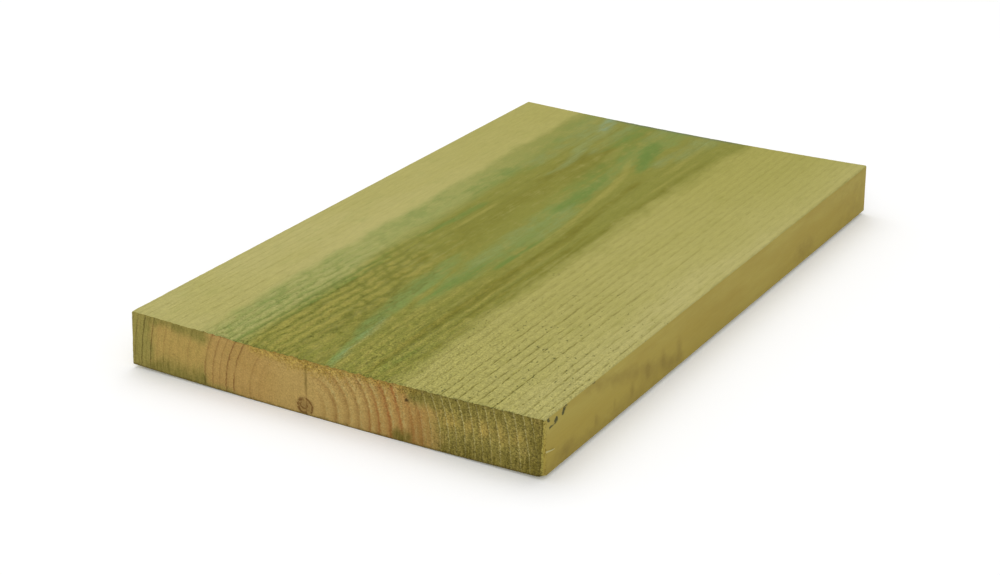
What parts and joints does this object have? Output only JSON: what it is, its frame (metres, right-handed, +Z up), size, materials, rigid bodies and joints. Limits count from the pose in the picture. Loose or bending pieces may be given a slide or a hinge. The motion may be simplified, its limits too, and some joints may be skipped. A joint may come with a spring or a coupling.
{
  "type": "cladding board",
  "caption": "Flat rectangular board of green pressure-treated softwood with a sawn face and a slight cup across its width, nailed to battens as wall cladding.",
  "frame": {"origin": "under the middle of the board, on the line of its crowned back that it lies on", "axes": "+X across the board, +Y along the grain from the near end to the far end, +Z up out of the sawn face"},
  "size_m": [0.2014, 0.35, 0.0264],
  "materials": {
    "treated_softwood": "sawn and pressure treated, matt, green to straw with tan heartwood on the end cuts"
  },
  "bodies": {
    "root": {"cladding_board": "treated_softwood"}
  },
  "joints": []
}
